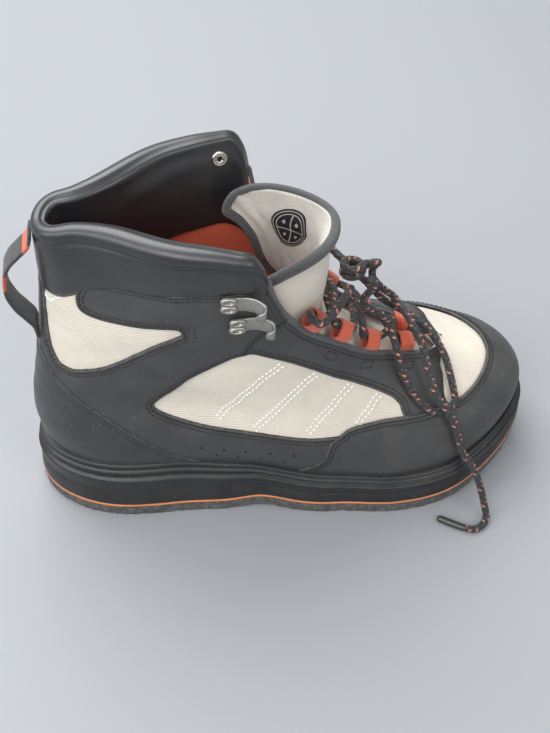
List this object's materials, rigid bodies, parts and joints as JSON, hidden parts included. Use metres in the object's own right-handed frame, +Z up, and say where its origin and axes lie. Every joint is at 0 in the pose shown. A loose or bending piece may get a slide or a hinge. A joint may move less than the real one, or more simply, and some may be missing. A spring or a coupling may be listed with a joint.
{
  "type": "wading boot",
  "caption": "Right ankle-high wading boot with a felt sole, padded collar, laced throat and open hooks, standing empty and untied.",
  "frame": {"origin": "on the floor under the middle of the heel, 45 mm ahead of the sole's back end", "axes": "+X towards the toe, +Y towards the inner (medial) side of this right boot, +Z up"},
  "size_m": [0.3108, 0.1462, 0.2261],
  "materials": {
    "felt": "dense matt felt",
    "orange_rubber": "matt burnt-orange bonding layer",
    "black_rubber": "semi-gloss black rubber",
    "lining": "orange-red woven lining",
    "cream_textile": "fine-ribbed cream textile",
    "black_padding": "smooth satin black padded synthetic leather",
    "grey_suede": "light warm-grey microsuede",
    "charcoal_leather": "matt charcoal synthetic nubuck",
    "orange_webbing": "ribbed orange-red webbing",
    "black_cord": "braided black cord with orange flecks",
    "gunmetal": "satin gunmetal plating",
    "black_plastic": "glossy black tip"
  },
  "bodies": {
    "root": {"aglet": "black_plastic", "ankle_panel_lateral": "charcoal_leather", "ankle_panel_medial": "charcoal_leather", "ankle_strap_lateral": "charcoal_leather", "ankle_strap_medial": "charcoal_leather", "bond_line": "orange_rubber", "collar": "black_padding", "facing_lateral": "charcoal_leather", "facing_medial": "charcoal_leather", "foxing_lateral": "charcoal_leather", "foxing_medial": "charcoal_leather", "heel_counter": "black_rubber", "hook_lateral_lower": "gunmetal", "hook_lateral_upper": "gunmetal", "hook_medial_lower": "gunmetal", "hook_medial_upper": "gunmetal", "insole": "lining", "lace_bars": "black_cord", "lace_end": "black_cord", "lace_knot": "black_cord", "lace_loop": "black_cord", "midsole": "black_rubber", "outsole_felt": "felt", "pull_loop": "black_cord", "quarter_arm_lateral": "charcoal_leather", "quarter_arm_medial": "charcoal_leather", "toe_cap": "black_rubber", "tongue": "grey_suede", "upper": "cream_textile", "webbing_loop_lateral_1": "orange_webbing", "webbing_loop_lateral_2": "orange_webbing", "webbing_loop_lateral_3": "orange_webbing", "webbing_loop_lateral_4": "orange_webbing", "webbing_loop_medial_1": "orange_webbing", "webbing_loop_medial_2": "orange_webbing", "webbing_loop_medial_3": "orange_webbing", "webbing_loop_medial_4": "orange_webbing"}
  },
  "joints": []
}
